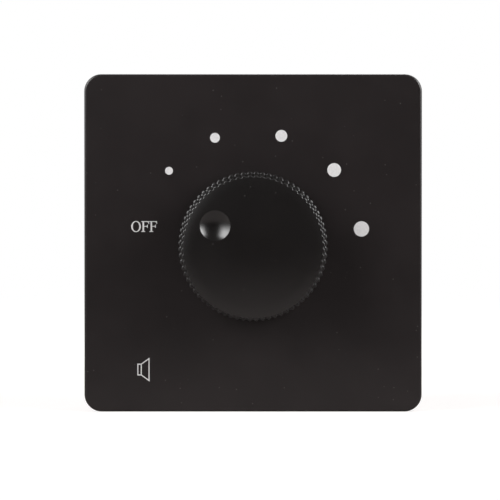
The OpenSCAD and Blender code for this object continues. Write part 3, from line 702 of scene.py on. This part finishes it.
def toe_ring(columns, height, reach):
    """Ring near the base, where each ridge reaches out into a toe and each flute gets shallower."""
    fade = FLUTE_FADE * reach / (KNOB_R - RIDGE_R - RIDGE_DRAFT)
    ring = []
    for turn, side, toe in columns:
        depth = (RIDGE_R - side) * (1 - fade)
        ring.append(knob_point(turn, RIDGE_R + RIDGE_DRAFT - depth + reach * toe, height))
    return ring


def outside_rings(columns):
    """Rings from the face's edge over the front edge and down the flutes to the base."""
    steps = 6
    slopes = [math.pi / 2 * step / steps for step in range(steps + 1)]
    rings = [edge_ring(columns, slope) for slope in slopes]
    most = KNOB_R - RIDGE_R - RIDGE_DRAFT
    for slope in slopes:
        height = TOE_H + TOE_FILLET * (1 - math.sin(slope))
        rings.append(toe_ring(columns, height, min(most, TOE_FILLET * (1 - math.cos(slope)))))
    rings.append(toe_ring(columns, 0, most))
    return rings


def round_ring(columns, radius, height, flat=None):
    """Plain ring, cut off by a flat at a height above the axis where one is given."""
    ring = []
    for turn, _, _ in columns:
        reach = radius
        if flat and math.sin(turn) > flat / radius:
            reach = flat / math.sin(turn)
        ring.append(knob_point(turn, reach, height))
    return ring


def dimple_rings(columns):
    """Rings of the finger dimple from its deepest point to its rim, which lies on the dome."""
    ball_r = (DIMPLE_R ** 2 + DIMPLE_DEPTH ** 2) / (2 * DIMPLE_DEPTH)
    steps = 14
    outward = Vector((math.cos(DIMPLE_ANGLE), math.sin(DIMPLE_ANGLE), 0))
    dome_centre = Vector((0, 0, KNOB_H - DOME_R))
    ball = outward * DIMPLE_PITCH
    ball.z = dome_height(DIMPLE_PITCH) - DIMPLE_DEPTH + ball_r
    axis = ball - dome_centre
    apart = axis.length
    axis.normalize()
    across = Vector((0, 0, 1)).cross(outward).cross(axis).normalized()
    along = axis.cross(across)
    rim_out = (apart ** 2 + DOME_R ** 2 - ball_r ** 2) / (2 * apart)
    open_angle = math.acos((apart - rim_out) / ball_r)
    rings = []
    for step in range(steps + 1):
        slope = open_angle * step / steps
        ring = []
        for turn, _, _ in columns if step else columns[:1]:
            sideways = across * math.cos(turn - DIMPLE_ANGLE) + along * math.sin(turn - DIMPLE_ANGLE)
            spot = ball + ball_r * (sideways * math.sin(slope) - axis * math.cos(slope))
            ring.append((spot.x, AXIS_UP + spot.y, KNOB_OUT + spot.z))
        rings.append(ring)
    return rings


def face_rings(rim, edge):
    """Rings on the dome between the dimple's rim and the face's edge."""
    steps = 28
    rings = []
    for step in range(1, steps):
        share = step / steps
        ring = []
        for (x0, up0, _), (x1, up1, _) in zip(rim, edge):
            x = x0 + share * (x1 - x0)
            up = up0 + share * (up1 - up0)
            ring.append((x, up, KNOB_OUT + dome_height(math.hypot(x, up - AXIS_UP))))
        rings.append(ring)
    return rings


def knob_rib(turn):
    """One rib inside the knob, sunk a little into its hub, wall and face."""
    low = (HUB_R - RIB_SINK, -RIB_T / 2, RIB_FOOT)
    high = (CAVITY_R + RIB_SINK, RIB_T / 2, CAVITY_H + RIB_SINK)
    points, faces = block(low, high)
    turned = [knob_point(turn + math.atan2(up, x), math.hypot(x, up), height) for x, up, height in points]
    return turned, faces


def knob(finishes):
    """The knob in one skin: dimple, domed face, flutes, base, inside, hub and bore, and its ribs."""
    columns = knob_columns()
    outside = outside_rings(columns)
    rings = dimple_rings(columns)
    rings += face_rings(rings[-1], outside[0])
    rings += outside
    rings.append(round_ring(columns, CAVITY_R, 0))
    rings.append(round_ring(columns, CAVITY_R, CAVITY_H))
    rings.append(round_ring(columns, HUB_R, CAVITY_H))
    rings.append(round_ring(columns, HUB_R, -HUB_TAIL))
    rings.append(round_ring(columns, BORE_R, -HUB_TAIL, BORE_FLAT))
    rings.append(round_ring(columns, BORE_R, BORE_H, BORE_FLAT))
    rings.append([knob_point(0, 0, BORE_H)])
    shapes = [skin(rings)]
    for i in range(KNOB_RIBS):
        shapes.append(knob_rib(2 * math.pi * i / KNOB_RIBS))
    piece = build("fluted_knob", shapes, finishes["knob_black"], "dial", sharp=28)
    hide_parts("knob")


# Printed marks


def ring_of(x, up, half_w, half_h, count=48):
    """Outline of an upright oval."""
    turns = [2 * math.pi * i / count for i in range(count)]
    return [(x + half_w * math.cos(turn), up + half_h * math.sin(turn)) for turn in turns]


def letter_o(left):
    """Outer and inner outline of the O: thick at the sides and thin above and below."""
    overshoot = 0.05
    half_w = 1.24
    half_h = CAP_H / 2 + overshoot
    side = 0.43
    hair = 0.19
    x = left + half_w
    up = OFF_UP + CAP_H / 2
    return [ring_of(x, up, half_w, half_h), ring_of(x, up, half_w - side, half_h - hair)]


def letter_f(left):
    """Outline of one F: a stem on a foot, a top arm with a beak and a middle arm with a serif."""
    hair = 0.18
    tip = 0.7 * hair
    bracket = 0.1
    stem_left = left + 0.34
    stem_right = stem_left + 0.41
    foot = OFF_UP
    foot_right = stem_right + 0.32
    top = OFF_UP + CAP_H
    arm_right = stem_right + 1.22
    beak_h = 0.72
    beak_start = arm_right - 0.5
    beak_waist = arm_right - 0.2
    beak_left = arm_right - 0.06
    beak_right = arm_right + 0.05
    middle = OFF_UP + 0.52 * CAP_H
    middle_right = stem_right + 0.92
    serif_h = 0.42
    serif_start = middle_right - 0.28
    serif_left = middle_right - 0.1
    return [
        (left, foot), (foot_right, foot), (foot_right, foot + tip),
        (stem_right, foot + hair + bracket), (stem_right, middle - hair / 2),
        (serif_start, middle - hair / 2), (serif_left, middle - serif_h),
        (middle_right, middle - serif_h), (middle_right, middle + serif_h),
        (serif_left, middle + serif_h), (serif_start, middle + hair / 2),
        (stem_right, middle + hair / 2), (stem_right, top - hair),
        (beak_start, top - hair), (beak_waist, top - beak_h / 2),
        (beak_left, top - beak_h), (beak_right, top - beak_h),
        (arm_right, top), (left, top), (left, top - tip),
        (stem_left, top - hair - bracket), (stem_left, foot + hair + bracket),
        (left, foot + tip),
    ]


def leftwards(start, end):
    """Direction to the left of the way from one point to another."""
    way = Vector(end) - Vector(start)
    return Vector((-way.y, way.x)).normalized()


def moved_corner(here, before, after, distance):
    """A corner moved left of the two directions that meet there, so that both sides keep a distance."""
    middle = (before + after).normalized()
    return tuple(Vector(here) + middle * (distance / middle.dot(after)))


def offset_outline(corners, distance):
    """Outline moved sideways by a distance, to the left of its direction, with sharp corners."""
    sides = [leftwards(start, end) for start, end in zip(corners, corners[1:] + corners[:1])]
    return [moved_corner(here, sides[i - 1], sides[i], distance) for i, here in enumerate(corners)]


def speaker_outlines():
    """Outline of the loudspeaker: a box and a horn, each drawn in an even line."""
    box_w = 0.86
    box_h = 2.74
    horn_w = 1.98
    horn_h = 5.6
    left = ICON_X
    throat = left + box_w
    mouth = throat + horn_w
    low, high = ICON_UP - box_h / 2, ICON_UP + box_h / 2
    mouth_low, mouth_high = ICON_UP - horn_h / 2, ICON_UP + horn_h / 2
    box = [(left, low), (throat, low), (throat, high), (left, high)]
    horn = [(throat, low), (mouth, mouth_low), (mouth, mouth_high), (throat, high)]
    silhouette = [box[0], *horn, box[-1]]
    half = ICON_LINE / 2
    return [offset_outline(silhouette, -half), offset_outline(box, half), offset_outline(horn, half)]


def printed(name, outlines, ink, face=PLATE_FACE, thickness=INK_T):
    """Raised ink inside outlines, half sunk in a face; an outline within another is a hole."""
    curve = bpy.data.curves.new(name, "CURVE")
    curve.dimensions = "2D"
    curve.fill_mode = "BOTH"
    curve.extrude = thickness / 2 * MM
    for outline in outlines:
        spline = curve.splines.new("POLY")
        spline.points.add(len(outline) - 1)
        spline.use_cyclic_u = True
        for point, (x, up) in zip(spline.points, outline):
            point.co = (x * MM, up * MM, 0, 1)
    drawn = bpy.data.objects.new(name + "_outline", curve)
    bpy.context.scene.collection.objects.link(drawn)
    view = bpy.context.evaluated_depsgraph_get()
    mesh = bpy.data.meshes.new_from_object(drawn.evaluated_get(view))
    bpy.data.objects.remove(drawn)
    for vertex in mesh.vertices:
        x, up, out = vertex.co
        vertex.co = (x, -face * MM - out, up)
    mesh.materials.clear()
    mesh.materials.append(ink)
    piece = bpy.data.objects.new(name, mesh)
    bpy.context.scene.collection.objects.link(piece)
    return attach(piece, "base")


def marks(ink):
    """The five growing dots, the word OFF and the loudspeaker."""
    printed("level_dots", [ring_of(x, up, across / 2, across / 2) for x, up, across in DOTS], ink)
    first_f = OFF_X + O_ADVANCE
    printed("off_word", letter_o(OFF_X) + [letter_f(first_f), letter_f(first_f + F_ADVANCE)], ink)
    printed("speaker_mark", speaker_outlines(), ink)


# Circuit board


def solder_joint(x, up, face, toward, stretch=1.0):
    """Solder round a pin on a face of the board; toward is 1 on its front and -1 on its back."""
    rings = []
    for radius, height in SOLDER:
        outline = ring_of(x, up, stretch * radius, radius, count=24)
        rings.append([(*point, face + toward * height) for point in outline])
    return skin(rings, closed=True)


def solder():
    """Solder on the switch's pins behind the board, and on the coil's and terminals' in front of it."""
    joints = [solder_joint(0, AXIS_UP + COMMON_PITCH_R, BOARD_BACK, -1)]
    for i in range(CONTACTS):
        turn = CONTACT_START + i * CONTACT_STEP
        x = CONTACT_PITCH_R * math.cos(turn)
        joints.append(solder_joint(x, AXIS_UP + CONTACT_PITCH_R * math.sin(turn), BOARD_BACK, -1))
    for x in RAIL_PINS:
        for reach in (-RAIL_REACH, RAIL_REACH):
            joints.append(solder_joint(x, CORE_UP + reach, BOARD_FRONT, 1))
    for x in LEGS:
        joints.append(solder_joint(x, LEG_UP, BOARD_FRONT, 1, LEG_STRETCH))
    build("solder_joints", joints, solder_tin(), "base", sharp=60)


def strip(line):
    """Outline of a track of even width along a line of corners."""
    sides = [leftwards(start, end) for start, end in zip(line, line[1:])]
    turns = list(zip(line, sides[:1] + sides, sides + sides[-1:]))
    left = [moved_corner(here, before, after, TRACK_W / 2) for here, before, after in turns]
    right = [moved_corner(here, before, after, -TRACK_W / 2) for here, before, after in turns]
    return left + right[::-1]


def tracks():
    """Copper under the mask: outer terminals round the core to the upper pins, inner ones to the lower."""
    inner_leg, outer_leg = LEGS[2:]
    inner_pin, outer_pin = RAIL_PINS[2:]
    outer_bend = -18.4
    side_x = 22.2
    side_low = -7.5
    top_up = 23.6
    corner_cut = 2.8
    pin_cut = 1.5
    outer = [
        (outer_leg, LEG_UP), (outer_leg, outer_bend), (side_x, side_low), (side_x, top_up - corner_cut),
        (side_x - corner_cut, top_up), (outer_pin + pin_cut, top_up), (outer_pin, top_up - pin_cut),
        (outer_pin, CORE_UP + RAIL_REACH),
    ]
    inner_bend = -17.0
    jog_x = 6.5
    jog_low = -14.25
    jog_high = -11.5
    jog_end = -8.5
    inner = [
        (inner_leg, LEG_UP), (inner_leg, inner_bend), (jog_x, jog_low), (jog_x, jog_high),
        (inner_pin, jog_end), (inner_pin, CORE_UP - RAIL_REACH),
    ]
    lines = []
    for side in (-1, 1):
        for line in (outer, inner):
            lines.append(strip([(side * x, up) for x, up in line]))
    printed("board_tracks", lines, masked_copper(), BOARD_BACK, TRACK_T)


def board_print(ink):
    """White line round the terminals' place on the board, thick enough to show over a track."""
    (left, right), (low, high), _ = span("terminal_housing")
    left -= PRINT_GAP
    right += PRINT_GAP
    low -= PRINT_GAP
    high += PRINT_GAP
    line = [(left, low), (right, low), (right, high), (left, high)]
    thickness = 2 * INK_T + TRACK_T
    printed("board_print", [line, offset_outline(line, PRINT_LINE)], ink, BOARD_BACK, thickness)


# Coil


def tape_spots():
    """Spots round the coil, from the tape's end back to it: place, direction outward, share of the way."""
    corner_steps = 10
    straight_w = TAPE_HALF_W - TAPE_CORNER_R
    middle = (TAPE_FRONT + TAPE_BACK) / 2
    straight_d = (TAPE_FRONT - TAPE_BACK) / 2 - TAPE_CORNER_R
    rearward = Vector((0, -1))
    spots = [(Vector((TAPE_END_X, TAPE_BACK)), rearward)]
    for corner, (side, end) in enumerate(((1, -1), (1, 1), (-1, 1), (-1, -1))):
        for step in range(corner_steps + 1):
            turn = math.pi / 2 * (corner - 1 + step / corner_steps)
            outward = Vector((math.cos(turn), math.sin(turn)))
            centre = Vector((side * straight_w, middle + end * straight_d))
            spots.append((centre + outward * TAPE_CORNER_R, outward))
    spots.append((Vector((TAPE_END_X - TAPE_STEP / 2, TAPE_BACK)), rearward))
    steps = [(after[0] - before[0]).length for before, after in zip(spots, spots[1:])]
    ways = list(accumulate([0.0] + steps))
    return [(spot, outward, way / ways[-1]) for (spot, outward), way in zip(spots, ways)]


def tape_ring(spots, up, inset):
    """Ring round the coil, drawn in by an inset and by the tape's own thickness in one turn."""
    ring = []
    for spot, outward, share in spots:
        x, out = spot - outward * (inset + TAPE_STEP * share)
        ring.append((x, CORE_UP + up, out))
    return ring


def coil_tape(finishes):
    """Tape over the turns of wire, lower towards the flanges, with its end showing behind."""
    spots = tape_spots()
    steps = 4
    count = steps * round(TAPE_L / WIRE_D)
    rings = []
    for i in range(count + 1):
        along = 2 * i / count - 1
        groove = WIRE_SHOW * (1 - abs(math.sin(math.pi * i / steps)))
        rings.append(tape_ring(spots, along * TAPE_L / 2, TAPE_CROWN * along ** 2 + groove))
    for end in (1, -1):
        rings.append(tape_ring(spots, end * TAPE_L / 2, TAPE_T - TAPE_STEP))
    piece = build("coil_tape", [skin(rings, closed=True)], finishes["tape_yellow"], "base")
    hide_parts("winding_tape")


# Camera, floor and light


def camera():
    """Camera a little above the plate's middle, with the part in the frame as in the photo."""
    data = bpy.data.cameras.new("camera")
    data.sensor_width = SENSOR
    data.lens = SENSOR * CAMERA_DISTANCE / VIEW_WIDTH
    eye = bpy.data.objects.new("camera", data)
    back = CAMERA_DISTANCE * math.cos(CAMERA_RISE)
    eye.location = place(0, CAMERA_DISTANCE * math.sin(CAMERA_RISE), PLATE_FACE + back)
    aim = place(AIM_X, AIM_UP, PLATE_FACE)
    eye.rotation_euler = (aim - eye.location).to_track_quat("-Z", "Y").to_euler()
    bpy.context.scene.collection.objects.link(eye)
    bpy.context.scene.camera = eye


def soften(data):
    """Makes a lamp's light fade towards its lower edge and its sides."""
    data.use_nodes = True
    tree = data.node_tree
    place_on_lamp = add_node(tree, "ShaderNodeNewGeometry").outputs["Parametric"]
    spot = add_node(tree, "ShaderNodeSeparateXYZ", vector=place_on_lamp)
    left = spread(tree, spot.outputs["X"], 0, 1, 0, LAMP_SIDE_FADE)
    right = spread(tree, spot.outputs["X"], 1, 0, 1 - LAMP_SIDE_FADE, 1)
    foot = spread(tree, spot.outputs["Y"], LAMP_FOOT, 1, 0, LAMP_FOOT_FADE)
    strength = combine(tree, "MULTIPLY", combine(tree, "MULTIPLY", left, right), foot)
    tree.links.new(strength, tree.nodes["Emission"].inputs["Strength"])


def softbox(name, azimuth, elevation, distance, width, height, radiance):
    """Upright soft lamp; azimuth is to the right of the camera, as seen from the part."""
    data = bpy.data.lights.new(name, "AREA")
    data.shape = "RECTANGLE"
    data.size = width
    data.size_y = height
    data.energy = math.pi * radiance * width * height
    soften(data)
    lamp = bpy.data.objects.new(name, data)
    side = math.radians(azimuth)
    rise = math.radians(elevation)
    toward = Vector((math.sin(side) * math.cos(rise), -math.cos(side) * math.cos(rise), math.sin(rise)))
    lamp.location = toward * distance
    lamp.rotation_euler = Vector((-toward.x, -toward.y, 0)).to_track_quat("-Z", "Y").to_euler()
    bpy.context.scene.collection.objects.link(lamp)
    lamp.visible_camera = False


def mix_shaders(tree, factor, first, second):
    """Shader that goes from the first to the second as factor goes from 0 to 1."""
    made = add_node(tree, "ShaderNodeMixShader")
    for socket, value in zip(made.inputs, (factor, first, second)):
        tree.links.new(value, socket)
    return made.outputs["Shader"]


def white_rays(tree, behind):
    """Rays to which the surroundings are white: the camera's, and reflected or passing ones behind."""
    path = add_node(tree, "ShaderNodeLightPath").outputs
    bounced = combine(tree, "ADD", path["Is Glossy Ray"], path["Is Transmission Ray"])
    return combine(tree, "ADD", path["Is Camera Ray"], combine(tree, "MULTIPLY", bounced, behind))


def studio():
    """World: white to the camera and in what shines back from behind the part, dim elsewhere."""
    world = bpy.data.worlds.new("studio")
    world.use_nodes = True
    bpy.context.scene.world = world
    tree = world.node_tree
    tree.nodes.clear()
    coords = add_node(tree, "ShaderNodeTexCoord").outputs["Generated"]
    direction = add_node(tree, "ShaderNodeSeparateXYZ", vector=coords)
    behind = spread(tree, direction.outputs["Y"], 0, 1, *WORLD_BEHIND)
    dim = add_node(tree, "ShaderNodeBackground", color=WORLD_DIM).outputs["Background"]
    white = add_node(tree, "ShaderNodeBackground", color=WHITE).outputs["Background"]
    add_node(tree, "ShaderNodeOutputWorld", surface=mix_shaders(tree, white_rays(tree, behind), dim, white))


def floor_paper():
    """Pale paper: it takes the shadow nearby, goes to plain white further off and is clear from below."""
    material = bpy.data.materials.new("floor_paper")
    material.use_nodes = True
    tree = material.node_tree
    tree.nodes.clear()
    coords = add_node(tree, "ShaderNodeTexCoord").outputs["Object"]
    depth = add_node(tree, "ShaderNodeSeparateXYZ", vector=coords).outputs["Y"]
    away = length_of(tree, coords)
    ahead = spread(tree, depth, 1, 0, *AHEAD_FADE)
    seen = white_rays(tree, spread(tree, depth, 0, 1, *BEHIND_FADE))
    open_floor = combine(tree, "MAXIMUM", spread(tree, away, 0, 1, *GLOW_FADE), ahead)
    glow = combine(tree, "MULTIPLY", seen, spread(tree, open_floor, NEAR_GLOW, 1, 0, 1))
    bare = combine(tree, "MAXIMUM", ahead, spread(tree, away, 0, 1, *PAPER_FADE))
    diffuse = add_node(tree, "ShaderNodeBsdfDiffuse", color=blend(tree, bare, PAPER, NO_PAPER))
    shine = add_node(tree, "ShaderNodeEmission", color=WHITE, strength=glow)
    both = add_node(tree, "ShaderNodeAddShader")
    tree.links.new(diffuse.outputs["BSDF"], both.inputs[0])
    tree.links.new(shine.outputs["Emission"], both.inputs[1])
    below = add_node(tree, "ShaderNodeNewGeometry").outputs["Backfacing"]
    clear = add_node(tree, "ShaderNodeBsdfTransparent").outputs["BSDF"]
    surface = mix_shaders(tree, below, both.outputs["Shader"], clear)
    add_node(tree, "ShaderNodeOutputMaterial", surface=surface)
    return material


def floor():
    """Wide sheet just under the plate's lower edge."""
    corners = ((-1, -1), (1, -1), (1, 1), (-1, 1))
    mesh = bpy.data.meshes.new("floor")
    mesh.from_pydata([Vector((x, y, 0)) * FLOOR_HALF * MM for x, y in corners], [], [[0, 1, 2, 3]])
    mesh.materials.append(floor_paper())
    sheet = bpy.data.objects.new("floor", mesh)
    sheet.location = place(0, -PLATE_SIZE / 2 - FLOOR_GAP, 0)
    bpy.context.scene.collection.objects.link(sheet)


def light():
    """A soft lamp with a brighter core on each side in front, and one lamp high behind."""
    softbox("left_softbox", azimuth=-54, elevation=30, distance=0.5, width=0.55, height=0.57, radiance=2.9)
    softbox("left_core", azimuth=-59, elevation=31, distance=0.5, width=0.4, height=0.47, radiance=3.8)
    softbox("right_softbox", azimuth=62, elevation=25, distance=0.5, width=0.44, height=0.45, radiance=4.7)
    softbox("right_core", azimuth=67, elevation=24, distance=0.5, width=0.26, height=0.34, radiance=5.4)
    softbox("rear_softbox", azimuth=160, elevation=45, distance=0.9, width=0.7, height=0.5, radiance=4.5)


# Making the scene, without the objects that a new file starts with

for name in ("Cube", "Light", "Camera"):
    if name in bpy.data.objects:
        bpy.data.objects.remove(bpy.data.objects[name])
bpy.context.scene.view_settings.view_transform = "Standard"
finishes = finish_nodes()
front_plate(finishes)
knob(finishes)
ink = white_ink()
marks(ink)
solder()
tracks()
board_print(ink)
coil_tape(finishes)
camera()
studio()
floor()
light()
